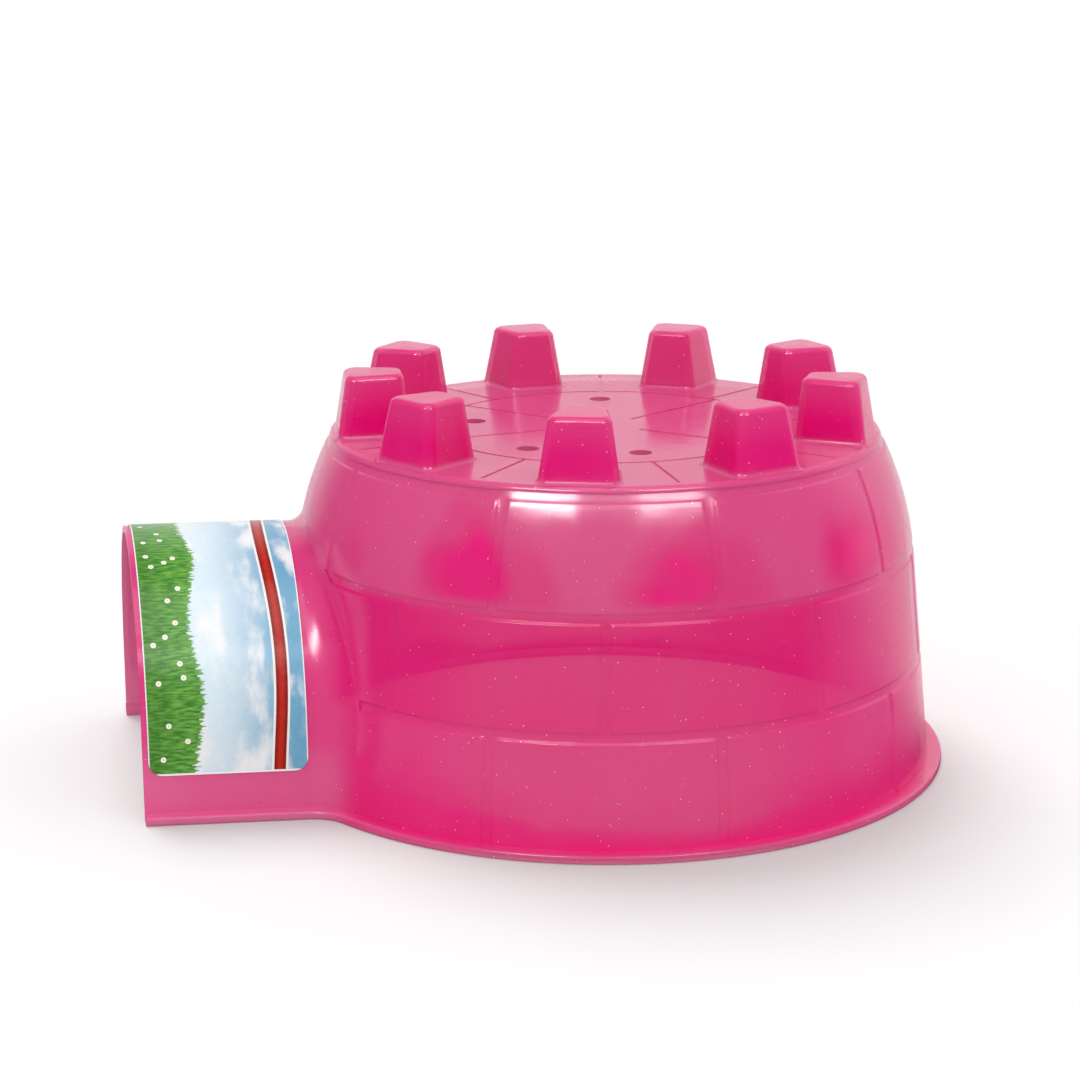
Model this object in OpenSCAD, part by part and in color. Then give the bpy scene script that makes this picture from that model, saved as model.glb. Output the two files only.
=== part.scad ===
// Rodent igloo: a small animal's hide, a round walled dome with a flat deck,
// a ring of hollow battlement blocks, an arched entrance tunnel and a base flange.
// Millimetres, +Z up. The tunnel points along -X, and the dome's back is at +X.

/* [Dome wall] */
// Outer radius of the wall where it stands on the flange
wall_foot_r = 124.6; // [115:0.2:135]
// Thickness of the moulded wall
wall_t = 2.4; // [1.6:0.1:3.2]
// Lean of the lower wall, in degrees
wall_lean = 5.3; // [3:0.1:7]
// Height where the leaning wall turns into the shoulder curve
shoulder_h = 80; // [72:1:88]
// Outer radius at the top of the shoulder curve
rim_r = 104; // [100:0.5:108]
// Radius of the rounded edge between the shoulder and the deck
rim_round_r = 2.2; // [1:0.1:3]

/* [Brick joints in the wall] */
// Width of a joint between two bricks
joint_w = 4; // [2:0.5:6]
// Depth of a joint
joint_depth = 0.7; // [0.3:0.1:1]
// Height of the middle of the lower course joint
lower_joint_h = 42.5; // [38:0.5:46]
// Height of the middle of the upper course joint
upper_joint_h = 84; // [80:0.5:92]
// Height of the plain band between the upper bricks and the rounded edge
plain_band_h = 1.7; // [1:0.1:4]
// Angle from one brick to the next, in degrees
brick_pitch = 39.15; // [37:0.05:39.5]

/* [Deck] */
// Height of the deck's top face
deck_h = 127.5; // [126:0.5:140]
// Thickness of the deck
deck_t = 2.4; // [1.6:0.1:3.2]
// Radius of the ring joint between the inner and the outer slabs
slab_ring_r = 65.5; // [58:0.5:72]
// Width of a joint between two slabs
slab_joint_w = 1.2; // [0.8:0.1:2]
// Depth of a joint between two slabs
slab_joint_depth = 0.6; // [0.3:0.1:1]
// Radius of the plain patch in the middle of the deck
plain_patch_r = 15; // [10:1:25]
// Diameter of a vent hole
vent_d = 8.4; // [5:0.2:12]
// Radius of the ring of vent holes
vent_ring_r = 50; // [46:0.5:52]

/* [Battlement blocks] */
// Height of a block above the deck
block_h = 23; // [16:0.5:30]
// Radius of a block's outer face at its foot
block_out_r = 101.4; // [98:0.2:101.6]
// Radial depth of a block at its foot
block_depth = 27; // [24:0.5:30]
// Width of a block's outer side at its foot
block_out_w = 29; // [26:0.5:32]
// Width of a block's inner side at its foot
block_in_w = 24; // [22:0.5:26]
// How far each side of a block draws in by its top
block_side_draft = 3.6; // [2:0.1:4.5]
// How far the outer face draws in by the top
block_out_draft = 3.6; // [2:0.1:4.5]
// How far the inner face draws in by the top
block_in_draft = 1.8; // [1:0.1:3]
// Radius of a block's upright edges
block_edge_r = 4; // [3:0.1:5]
// Rounding of a block's top edge
block_top_round = 2; // [1:0.1:2.5]
// Wall thickness of a block
block_wall_t = 2; // [1.4:0.1:2.4]
// Angle from the block over the tunnel to its neighbours, in degrees
first_block_turn = 36.2; // [34:0.1:38]
// Angle from each further block to the next, in degrees
block_pitch = 40.5; // [39:0.1:41]

/* [Entrance tunnel] */
// Outer width of the tunnel at the base
tunnel_w = 129; // [120:0.5:136]
// Outer height of the tunnel
tunnel_h = 92.5; // [88:0.5:96]
// Lean of the tunnel's side walls, in degrees
tunnel_lean = 3; // [1:0.1:4]
// Distance from the dome's axis to the middle of the mouth
mouth_reach = 181; // [170:1:200]
// Angle by which the mouth is cut askew, in degrees
mouth_skew = 4.5; // [0:0.5:6]
// Radius of the blend into the dome beside the tunnel's foot
blend_side_r = 21; // [16:1:26]
// Radius of the blend into the dome over the tunnel's crown
blend_crown_r = 6; // [4:1:12]

/* [Base flange] */
// How far the flange stands out from the wall
flange_w = 5.4; // [3:0.2:8]
// Thickness of the flange
flange_t = 3.2; // [2:0.1:4]

/* [Label] */
// How far the label runs onto the first slight rise of the blend into the dome
label_lap = 1; // [-15:0.1:1.2]
// Distance from the mouth to the label
label_inset = 2; // [1:0.5:8]
// Height of the label's lower edges above the ground
label_foot_h = 17; // [12:0.5:30]
// Thickness of the label
label_t = 0.3; // [0.2:0.05:0.5]
// Glue line between the label and the tunnel
label_glue_t = 0.1; // [0.05:0.05:0.3]
// Radius of the label's corners
label_corner_r = 5; // [2:0.5:10]

/* [Hidden] */
$fn = 96;
EDGE_FN = 24;
SHOULDER_STEPS = 8;
RIM_STEPS = 3;
OVER = 1;
SLICE = 0.02;
BLEND_STEPS = 7;
BACK_STEPS = 3;
SIDE_STATIONS = 5;
CROWN_STATIONS = 30;
BLOCKS = [for (k = [1:9]) str("battlement_", k)];

mould_pink = [0.86, 0.26, 0.49, 0.85];
deck_pink = [0.89, 0.45, 0.62, 0.85];
label_colour = [0.62, 0.82, 0.93];

// Driving lengths worked out from the sizes above
flange_r = wall_foot_r + flange_w;
flange_corner_r = blend_side_r - flange_w;
shoulder_r = wall_foot_r - (shoulder_h - flange_t) * tan(wall_lean);
rim_h = deck_h - rim_round_r;
deck_disc_r = rim_r - rim_round_r;
tunnel_half = tunnel_w / 2;
mouth_far_x = mouth_reach + (tunnel_half + flange_w) * tan(mouth_skew);
centre_x = (mouth_far_x - flange_r) / 2;

// The arch: leaning sides that run smoothly into a round crown
crown_r = (tunnel_half - tunnel_h * tan(tunnel_lean)) / (1 / cos(tunnel_lean) - tan(tunnel_lean));
crown_z = tunnel_h - crown_r;

brick_top_h = rim_h - plain_band_h;

// Gap between the blend and the faces that carry it
blend_gap = 0.1;

// The shoulder curve leaves the wall at the wall's own lean and ends at the rim
rise = rim_h - shoulder_h;
inset = shoulder_r - rim_r;
chord = sqrt(rise * rise + inset * inset);
chord_lean = atan(inset / rise);
shoulder_turn = 2 * (chord_lean - wall_lean);
shoulder_arc_r = chord / (2 * sin(shoulder_turn / 2));
function shoulder_point(a) = [
    shoulder_r - shoulder_arc_r * (cos(wall_lean) - cos(a)),
    shoulder_h + shoulder_arc_r * (sin(a) - sin(wall_lean))
];
function shoulder_points() = [
    for (i = [0:SHOULDER_STEPS]) shoulder_point(wall_lean + shoulder_turn * i / SHOULDER_STEPS)
];
function rim_points() = [
    for (i = [1:RIM_STEPS]) let (a = 90 * i / RIM_STEPS)
        [deck_disc_r + rim_round_r * cos(a), rim_h + rim_round_r * sin(a)]
];
// Outside of the dome from its foot to the deck, with its wall moved inwards by d
function dome_side(d) = concat(
    [for (p = concat([[wall_foot_r, flange_t]], shoulder_points())) [p[0] - d, p[1]]],
    rim_points()
);
function wall_inside() = concat(
    [[wall_foot_r - wall_t, flange_t]],
    [for (p = shoulder_points()) [p[0] - wall_t, min(p[1], deck_h - deck_t)]],
    [[deck_disc_r, deck_h - deck_t]]
);
function backwards(list) = [for (i = [len(list) - 1:-1:0]) list[i]];

// Angles from the dome's back, one side only: the other side mirrors them
block_turns = [for (k = [3:-1:0]) 180 - first_block_turn - k * block_pitch];
slab_turns = [for (k = [0:2]) (block_turns[k] + block_turns[k + 1]) / 2];
last_slab_turn = (block_turns[3] + 180) / 2;
all_block_turns = concat(block_turns, [180], backwards([for (a = block_turns) -a]));
all_slab_turns = concat([0], slab_turns, [last_slab_turn], [for (a = slab_turns) -a], [-last_slab_turn]);
inner_slab_turns = [-39, -102, -165, 138, 40];
vent_turns = [-83, -132, 164, 84, 0];
end_brick_turns = [for (k = [-4:4]) k * brick_pitch];
middle_brick_turns = [for (k = [-4:3]) (k + 0.5) * brick_pitch];

// Solid of revolution that fills the dome, with its wall moved inwards by d
module dome_body(d) {
    foot = [[0, -OVER], [wall_foot_r - d, -OVER]];
    rotate_extrude()
        polygon(concat(foot, dome_side(d), [[0, deck_h]]));
}

// Half the arch's width at height z on its leaning sides
function arch_half_width(r, z) = r / cos(tunnel_lean) + (crown_z - z) * tan(tunnel_lean);

module arch_outline(r) {
    foot = arch_half_width(r, 0);
    spring = [r * cos(tunnel_lean), crown_z + r * sin(tunnel_lean)];
    polygon([[-foot, 0], [foot, 0], spring, [-spring[0], spring[1]]]);
    intersection() {
        translate([0, crown_z])
            circle(r = r);
        translate([-r - OVER, 0])
            square([2 * (r + OVER), tunnel_h + 2 * OVER]);
    }
}

// Bar with the arch's section, from the dome's axis out along -X
module arch_bar(r, length) {
    rotate([90, 0, -90])
        linear_extrude(height = length)
            arch_outline(r);
}

// Everything on the dome's side of the mouth's plane, moved inwards by d
module behind_mouth(d) {
    size = 3 * mouth_reach;
    translate([-mouth_reach, 0, 0])
        rotate([0, 0, mouth_skew])
            translate([d, -size / 2, -OVER])
                cube([size, size, size]);
}

module joint_band(height) {
    translate([0, 0, height - joint_w / 2])
        cylinder(h = joint_w, r = wall_foot_r + OVER);
}

module joint_upright(turn, low, high) {
    from_r = rim_r - joint_w;
    rotate([0, 0, turn])
        translate([from_r, -joint_w / 2, low])
            cube([wall_foot_r + OVER - from_r, joint_w, high - low]);
}

// The joints between the bricks, as patterns that cut only to the joint's depth
module level_joints() {
    difference() {
        union() {
            joint_band(lower_joint_h);
            joint_band(upper_joint_h);
            translate([0, 0, brick_top_h])
                cylinder(h = plain_band_h, r = wall_foot_r);
        }
        dome_body(joint_depth);
    }
}

module upright_joints() {
    difference() {
        union() {
            for (a = end_brick_turns) {
                joint_upright(a, flange_t, lower_joint_h);
                joint_upright(a, upper_joint_h, rim_h);
            }
            for (a = middle_brick_turns)
                joint_upright(a, lower_joint_h, upper_joint_h);
        }
        dome_body(joint_depth);
    }
}

module dome_wall() {
    color(mould_pink)
        difference() {
            rotate_extrude()
                polygon(concat(dome_side(0), backwards(wall_inside())));
            level_joints();
            upright_joints();
            arch_bar(crown_r - wall_t, mouth_reach);
        }
}

// Outline round a set of corner circles, exact: straight sides and round corners
function side_points(c, r) = [
    for (i = [0:len(c) - 1])
        let (j = (i + 1) % len(c), d = c[j] - c[i], n = [d[1], -d[0]] / norm(d))
            each [c[i] + n * r, c[j] + n * r]
];
module round_cornered(c, r) {
    polygon(side_points(c, r));
    for (p = c)
        translate(p)
            circle(r = r);
}

// Corner centres of a block's plan, drawn in by part f of its drafts and by d
function block_corners(f, d) =
    let (
        out_x = block_out_r - f * block_out_draft - d,
        in_x = block_out_r - block_depth + f * block_in_draft + d,
        out_y = block_out_w / 2 - f * block_side_draft - d,
        in_y = block_in_w / 2 - f * block_side_draft - d,
        e = block_edge_r
    )
    [[out_x - e, -out_y + e], [out_x - e, out_y - e], [in_x + e, in_y - e], [in_x + e, -in_y + e]];

// Thin slice of a block that ends at height z above the deck
module block_slab(f, d, r, z) {
    translate([0, 0, deck_h + z - SLICE])
        linear_extrude(height = SLICE)
            round_cornered(block_corners(f, d + r - block_edge_r), r);
}

module battlement(turn) {
    $fn = EDGE_FN;
    in_edge = block_edge_r - block_wall_t;
    side_h = block_h - block_top_round;
    bevel = block_top_round * (1 - cos(45));
    color(mould_pink)
        rotate([0, 0, turn])
            difference() {
                hull() {
                    block_slab(0, 0, block_edge_r, SLICE);
                    block_slab(side_h / block_h, 0, block_edge_r, side_h);
                    block_slab(1, bevel, block_edge_r, block_h - bevel);
                    block_slab(1, block_top_round, block_edge_r, block_h);
                }
                hull() {
                    block_slab(0, block_wall_t, in_edge, 0);
                    block_slab(1, block_wall_t, in_edge, block_h - block_wall_t);
                }
            }
}

// The hollow of a block goes on through the deck below it
module block_opening(turn) {
    in_edge = block_edge_r - block_wall_t;
    rotate([0, 0, turn])
        translate([0, 0, deck_h - deck_t - OVER])
            linear_extrude(height = deck_t + 2 * OVER)
                round_cornered(block_corners(0, block_wall_t + in_edge - block_edge_r), in_edge);
}

module slab_joint(turn, from_r, to_r) {
    rotate([0, 0, turn])
        translate([from_r, -slab_joint_w / 2, deck_h - slab_joint_depth])
            cube([to_r - from_r, slab_joint_w, slab_joint_depth + OVER]);
}

module slab_ring_joint() {
    translate([0, 0, deck_h - slab_joint_depth])
        difference() {
            cylinder(h = slab_joint_depth + OVER, r = slab_ring_r + slab_joint_w / 2);
            translate([0, 0, -OVER])
                cylinder(h = slab_joint_depth + 3 * OVER, r = slab_ring_r - slab_joint_w / 2);
        }
}

module roof_deck() {
    color(deck_pink)
        difference() {
            translate([0, 0, deck_h - deck_t])
                cylinder(h = deck_t, r = deck_disc_r);
            slab_ring_joint();
            for (a = all_slab_turns)
                slab_joint(a, slab_ring_r, deck_disc_r - wall_t);
            for (a = inner_slab_turns)
                slab_joint(a, plain_patch_r, slab_ring_r);
            for (a = vent_turns)
                rotate([0, 0, a])
                    translate([vent_ring_r, 0, deck_h - deck_t - OVER])
                        cylinder(h = deck_t + 2 * OVER, d = vent_d);
            for (a = all_block_turns)
                block_opening(a);
        }
}

module above_flange() {
    size = 3 * mouth_reach;
    translate([-size / 2, -size / 2, flange_t])
        cube(size);
}

module entrance_tunnel() {
    color(mould_pink)
        intersection() {
            difference() {
                arch_bar(crown_r, 2 * mouth_reach);
                arch_bar(crown_r - wall_t, 3 * mouth_reach);
                dome_body(0);
            }
            behind_mouth(0);
            above_flange();
        }
}

// Stations along the tunnel's outer section: [y, z, and the outward normal's y and z]
function side_station(z) = [arch_half_width(crown_r, z), z, cos(tunnel_lean), sin(tunnel_lean)];
function crown_station(a) = [crown_r * cos(a), crown_z + crown_r * sin(a), cos(a), sin(a)];
function mirrored_station(s) = [-s[0], s[1], -s[2], s[3]];
spring_h = crown_z + crown_r * sin(tunnel_lean);
side_stations = [
    for (i = [0:SIDE_STATIONS - 1])
        side_station(flange_t + (spring_h - flange_t) * i / SIDE_STATIONS)
];
crown_stations = [
    for (i = [0:CROWN_STATIONS])
        crown_station(tunnel_lean + (180 - 2 * tunnel_lean) * i / CROWN_STATIONS)
];
blend_stations = concat(
    side_stations,
    crown_stations,
    backwards([for (s = side_stations) mirrored_station(s)])
);
function blend_r(s) = blend_side_r + (blend_crown_r - blend_side_r) * pow(max(0, s[3]), 2);

// The dome's profile moved outwards by d: its radius and its normal at height z
shoulder_centre = [
    shoulder_r - shoulder_arc_r * cos(wall_lean),
    shoulder_h - shoulder_arc_r * sin(wall_lean)
];
function on_shoulder(z, d) = z > shoulder_h + d * sin(wall_lean);
function dome_radius(z, d) = on_shoulder(z, d)
    ? shoulder_centre[0] + sqrt(pow(shoulder_arc_r + d, 2) - pow(z - shoulder_centre[1], 2))
    : wall_foot_r + d / cos(wall_lean) - (z - flange_t) * tan(wall_lean);
function dome_normal(p, d) =
    let (
        r = norm([p[0], p[1]]),
        up = on_shoulder(p[2], d)
            ? atan2(p[2] - shoulder_centre[1], r - shoulder_centre[0])
            : wall_lean
    )
    [p[0] / r * cos(up), p[1] / r * cos(up), sin(up)];
function on_dome(p) = dome_radius(p[2], blend_gap) * [p[0], p[1]] / norm([p[0], p[1]]);

// Middle of the blend's arc at a station: as far from the tunnel as from the dome
function blend_centre(s) =
    let (d = blend_r(s) + blend_gap, y = s[0] + d * s[2], z = s[1] + d * s[3])
    [-sqrt(pow(dome_radius(z, d), 2) - y * y), y, z];

// Section of the blend at a station: an arc rolled between the tunnel's and the
// dome's outer faces, then points along the dome back to where the faces meet
function blend_section(s) =
    let (
        r = blend_r(s),
        centre = blend_centre(s),
        u = [0, -s[2], -s[3]],
        v = -dome_normal(centre, r + blend_gap),
        turn = acos(u * v),
        arc = [for (i = [0:BLEND_STEPS]) let (t = turn * i / BLEND_STEPS)
            centre + r * (sin(turn - t) * u + sin(t) * v) / sin(turn)],
        y0 = s[0] + blend_gap * s[2],
        z0 = s[1] + blend_gap * s[3],
        corner = [-sqrt(pow(dome_radius(z0, blend_gap), 2) - y0 * y0), y0, z0],
        foot = arc[BLEND_STEPS]
    )
    concat(arc, [for (i = [1:BACK_STEPS])
        let (p = foot + (corner - foot) * i / BACK_STEPS, q = on_dome(p)) [q[0], q[1], p[2]]]);
function flattened(points, z) = [for (p = points) [p[0], p[1], z]];

// Smooth blend between the tunnel's outside and the dome's
module tunnel_blend() {
    m = BLEND_STEPS + 1 + BACK_STEPS;
    n = len(blend_stations);
    sections = [for (s = blend_stations) blend_section(s)];
    points = concat(
        flattened(sections[0], flange_t),
        [for (i = [1:n - 2]) each sections[i]],
        flattened(sections[n - 1], flange_t)
    );
    sides = [
        for (i = [0:n - 2], j = [0:m - 1])
            let (a = i * m + j, b = i * m + (j + 1) % m)
                each [[a, b, b + m], [a, b + m, a + m]]
    ];
    first = [for (j = [m - 1:-1:0]) j];
    last = [for (j = [0:m - 1]) (n - 1) * m + j];
    color(mould_pink)
        polyhedron(points = points, faces = concat(sides, [first, last]), convexity = 6);
}

// Concave corner between the flange round the dome and the flange along the tunnel
module flange_corner() {
    edge_y = tunnel_half + flange_w;
    y = edge_y + flange_corner_r;
    x = -sqrt(pow(flange_r + flange_corner_r, 2) - y * y);
    touch = [x, y] * flange_r / (flange_r + flange_corner_r);
    meet = [-sqrt(flange_r * flange_r - edge_y * edge_y), edge_y];
    difference() {
        polygon([[x, edge_y], meet, touch, [x, y]]);
        translate([x, y])
            circle(r = flange_corner_r);
    }
}

module flange_plan() {
    passage_half = arch_half_width(crown_r - wall_t, flange_t);
    run = 2 * mouth_reach;
    difference() {
        union() {
            circle(r = flange_r);
            translate([-run, -tunnel_half - flange_w])
                square([run, tunnel_w + 2 * flange_w]);
            flange_corner();
            mirror([0, 1])
                flange_corner();
        }
        circle(r = wall_foot_r - wall_t);
        translate([-run - OVER, -passage_half])
            square([run + OVER, 2 * passage_half]);
    }
}

module base_flange() {
    color(mould_pink)
        intersection() {
            linear_extrude(height = flange_t)
                flange_plan();
            behind_mouth(0);
        }
}

// The label runs from the mouth to where the blend comes closest to it
label_corner_h = label_foot_h + label_corner_r;
label_stations = concat(
    [side_station(label_corner_h), mirrored_station(side_station(label_corner_h))],
    [for (s = blend_stations) if (s[1] > label_corner_h) s]
);
function from_mouth(x, y) = (x + mouth_reach) * cos(mouth_skew) + y * sin(mouth_skew);
label_room = min([for (s = label_stations) from_mouth(blend_centre(s)[0], s[0])]);
label_len = label_room - label_inset + label_lap;

// Side view of the label: a tall strip with round lower corners
module label_side() {
    r = label_corner_r;
    low = label_corner_h;
    high = tunnel_h + 2 * r;
    round_cornered([[r, low], [label_len - r, low], [label_len - r, high], [r, high]], r);
}

module wrap_label() {
    width = 2 * tunnel_w;
    back_r = crown_r + label_glue_t;
    color(label_colour)
        intersection() {
            difference() {
                arch_bar(back_r + label_t, 2 * mouth_reach);
                arch_bar(back_r, 3 * mouth_reach);
            }
            translate([-mouth_reach, 0, 0])
                rotate([0, 0, mouth_skew])
                    translate([label_inset, width / 2, 0])
                        rotate([90, 0, 0])
                            linear_extrude(height = width)
                                label_side();
        }
}

// The origin lies on the ground under the middle of the whole part
module placed() {
    translate([centre_x, 0, 0])
        children();
}

placed() dome_wall();
placed() roof_deck();
for (k = [0:8])
    placed() battlement(all_block_turns[k]);
placed() entrance_tunnel();
placed() tunnel_blend();
placed() base_flange();
placed() wrap_label();
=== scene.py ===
"""Looks of the rodent igloo: a glossy, see-through pink moulding with a paper label.

Shapes are drawn in millimetres round the dome's axis, with the tunnel along -X,
and are then set in the frame in metres.
"""

import math

import bmesh
import bpy
from mathutils import Matrix, Vector


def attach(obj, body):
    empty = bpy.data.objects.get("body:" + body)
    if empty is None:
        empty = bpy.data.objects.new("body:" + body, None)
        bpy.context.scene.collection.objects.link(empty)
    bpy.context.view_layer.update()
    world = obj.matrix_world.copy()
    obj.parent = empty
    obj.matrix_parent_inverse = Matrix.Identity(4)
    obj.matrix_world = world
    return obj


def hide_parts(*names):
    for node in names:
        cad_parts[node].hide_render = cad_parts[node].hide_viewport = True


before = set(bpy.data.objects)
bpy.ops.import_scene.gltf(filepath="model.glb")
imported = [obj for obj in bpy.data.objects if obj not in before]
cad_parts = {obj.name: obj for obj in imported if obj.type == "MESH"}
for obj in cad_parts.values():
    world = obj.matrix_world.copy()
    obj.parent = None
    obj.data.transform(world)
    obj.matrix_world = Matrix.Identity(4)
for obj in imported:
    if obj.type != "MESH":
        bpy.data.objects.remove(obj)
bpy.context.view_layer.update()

MM = 0.001

# Dome wall
WALL_FOOT_R = 124.6
WALL_T = 2.4
WALL_LEAN = math.radians(5.3)
SHOULDER_H = 80.0
RIM_R = 104.0
RIM_ROUND_R = 2.2
DECK_H = 127.5
DECK_T = 2.4
FLANGE_W = 5.4
FLANGE_T = 3.2

# Brick joints
JOINT_W = 4.0
JOINT_DEPTH = 0.7
LOWER_JOINT_H = 42.5
UPPER_JOINT_H = 84.0
PLAIN_BAND_H = 1.7
BRICK_PITCH = 39.15
BRICK_EDGE_IN = 0.8  # how far a brick's soft edge reaches into the joint
BRICK_EDGE = ((0.3, 0.08), (0.3, 0.27), (0.3, 0.27), (0.3, 0.08))  # its steps: width, rise

# Deck
SLAB_RING_R = 65.5
SLAB_JOINT_W = 1.2
SLAB_JOINT_DEPTH = 0.6
PLAIN_PATCH_R = 15.0
VENT_D = 8.4
VENT_RING_R = 50.0
DECK_CUT_OVER = 0.4  # how far the joints' cuts stand over the deck

# Battlement blocks
BLOCK_H = 23.0
BLOCK_OUT_R = 101.4
BLOCK_DEPTH = 27.0
BLOCK_OUT_W = 29.0
BLOCK_IN_W = 24.0
BLOCK_SIDE_DRAFT = 3.6
BLOCK_OUT_DRAFT = 3.6
BLOCK_IN_DRAFT = 1.8
BLOCK_EDGE_R = 4.0
BLOCK_TOP_ROUND = 2.0
BLOCK_WALL_T = 2.0
BLOCK_FOOT_R = 1.4
FIRST_BLOCK_TURN = 36.2
BLOCK_PITCH = 40.5

# Tunnel
TUNNEL_W = 129.0
TUNNEL_H = 92.5
TUNNEL_LEAN = math.radians(3.0)
MOUTH_REACH = 181.0
MOUTH_SKEW = math.radians(4.5)
BLEND_SIDE_R = 21.0
BLEND_CROWN_R = 6.0
TUNNEL_END_X = -60.0  # the tunnel's bar ends inside the dome

# Label
LABEL_LEN = 56.96
LABEL_INSET = 2.0
LABEL_FOOT_H = 17.0
LABEL_T = 0.3
LABEL_GLUE_T = 0.1
LABEL_CORNER_R = 5.0

# Room to cut in: bodies run on past the mouth and below the ground, and cuts run on further
BURIED = 4.0
TUNNEL_SPARE = 12.0
FLANGE_SPARE = 8.0
LABEL_SPARE = 6.0
CUT_PAST = 4.0
CUT_BELOW = 2.0

FLANGE_R = WALL_FOOT_R + FLANGE_W
SHOULDER_R = WALL_FOOT_R - (SHOULDER_H - FLANGE_T) * math.tan(WALL_LEAN)
RIM_H = DECK_H - RIM_ROUND_R
DECK_DISC_R = RIM_R - RIM_ROUND_R
BRICK_TOP_H = RIM_H - PLAIN_BAND_H
TUNNEL_HALF = TUNNEL_W / 2
MOUTH_FAR_X = MOUTH_REACH + (TUNNEL_HALF + FLANGE_W) * math.tan(MOUTH_SKEW)
CENTRE_X = (MOUTH_FAR_X - FLANGE_R) / 2
CROWN_R = (TUNNEL_HALF - TUNNEL_H * math.tan(TUNNEL_LEAN)) / (
    1 / math.cos(TUNNEL_LEAN) - math.tan(TUNNEL_LEAN)
)
CROWN_Z = TUNNEL_H - CROWN_R

# The shoulder's arc leaves the wall at the wall's lean and ends at the rim
RISE = RIM_H - SHOULDER_H
INSET = SHOULDER_R - RIM_R
SHOULDER_TURN = 2 * (math.atan(INSET / RISE) - WALL_LEAN)
SHOULDER_ARC_R = math.hypot(RISE, INSET) / (2 * math.sin(SHOULDER_TURN / 2))
SHOULDER_CENTRE = (
    SHOULDER_R - SHOULDER_ARC_R * math.cos(WALL_LEAN),
    SHOULDER_H - SHOULDER_ARC_R * math.sin(WALL_LEAN),
)

BLOCK_TURNS = [180 - FIRST_BLOCK_TURN - k * BLOCK_PITCH for k in (3, 2, 1, 0)]
SLAB_TURNS = [(a + b) / 2 for a, b in zip(BLOCK_TURNS, BLOCK_TURNS[1:])]
SLAB_TURNS.append((BLOCK_TURNS[-1] + 180) / 2)
ALL_BLOCK_TURNS = BLOCK_TURNS + [180] + [-a for a in reversed(BLOCK_TURNS)]
ALL_SLAB_TURNS = [0] + SLAB_TURNS + [-a for a in SLAB_TURNS]
# Turns about the dome's axis, in degrees from +X
INNER_SLAB_TURNS = (-39, -102, -165, 138, 40)
VENT_TURNS = (-83, -132, 164, 84, 0)
BLOCK_NAMES = ["battlement_%d" % k for k in range(1, 10)]


# Making meshes

def in_frame(bm):
    """Moves a mesh drawn in millimetres round the dome's axis into the frame."""
    bmesh.ops.translate(bm, verts=bm.verts, vec=(CENTRE_X, 0, 0))
    bmesh.ops.scale(bm, verts=bm.verts, vec=(MM, MM, MM))


def finished(name, bm, merge=1e-4):
    """A new object from a mesh, with its doubles merged and its faces outwards."""
    bmesh.ops.remove_doubles(bm, verts=bm.verts, dist=merge)
    bmesh.ops.recalc_face_normals(bm, faces=bm.faces)
    in_frame(bm)
    mesh = bpy.data.meshes.new(name)
    bm.to_mesh(mesh)
    bm.free()
    obj = bpy.data.objects.new(name, mesh)
    bpy.context.scene.collection.objects.link(obj)
    return obj


def wall_radius(z, d=0.0):
    """Radius at height z of the dome's outside, moved outwards by d."""
    if z > SHOULDER_H + d * math.sin(WALL_LEAN):
        r, h = SHOULDER_CENTRE
        return r + math.sqrt((SHOULDER_ARC_R + d) ** 2 - (z - h) ** 2)
    return WALL_FOOT_R + d / math.cos(WALL_LEAN) - (z - FLANGE_T) * math.tan(WALL_LEAN)


def spun(bm, points, from_turn, turns):
    """Spins a profile of (r, z) points right round the dome's axis in runs of (degrees, steps)."""
    verts = [bm.verts.new((r, 0, z)) for r, z in points]
    edges = [bm.edges.new(pair) for pair in zip(verts, verts[1:])]
    geom = verts + edges
    bmesh.ops.rotate(
        bm, verts=verts, cent=(0, 0, 0), matrix=Matrix.Rotation(math.radians(from_turn), 3, "Z")
    )
    for angle, steps in turns:
        geom = bmesh.ops.spin(
            bm, geom=geom, cent=(0, 0, 0), axis=(0, 0, 1),
            angle=math.radians(angle), steps=steps, use_merge=len(turns) == 1, use_duplicate=False,
        )["geom_last"]
    bmesh.ops.remove_doubles(bm, verts=bm.verts, dist=0.01)


def arc_end(bm, start, centre, axis, angle, steps):
    """Draws an arc from a vertex and gives the vertex at its end."""
    geom = bmesh.ops.spin(
        bm, geom=[start], cent=centre, axis=axis, angle=angle, steps=steps,
    )["geom_last"]
    return [v for v in geom if isinstance(v, bmesh.types.BMVert)][0]


def extruded(bm, along):
    """Fills the closed outline drawn so far and extrudes it."""
    face = bmesh.ops.contextual_create(bm, geom=bm.edges[:])["faces"]
    body = bmesh.ops.extrude_face_region(bm, geom=face)["geom"]
    moved = [g for g in body if isinstance(g, bmesh.types.BMVert)]
    bmesh.ops.translate(bm, verts=moved, vec=along)


def capped(bm, z):
    """Closes the open loop at height z with one face."""
    loop = [e for e in bm.edges if e.is_boundary and all(abs(v.co.z - z) < 1e-4 for v in e.verts)]
    bmesh.ops.contextual_create(bm, geom=loop)


def rows(low, high, step):
    """Heights from low to high at about one step."""
    count = max(1, round((high - low) / step))
    return [low + (high - low) * k / count for k in range(count + 1)]


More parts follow.
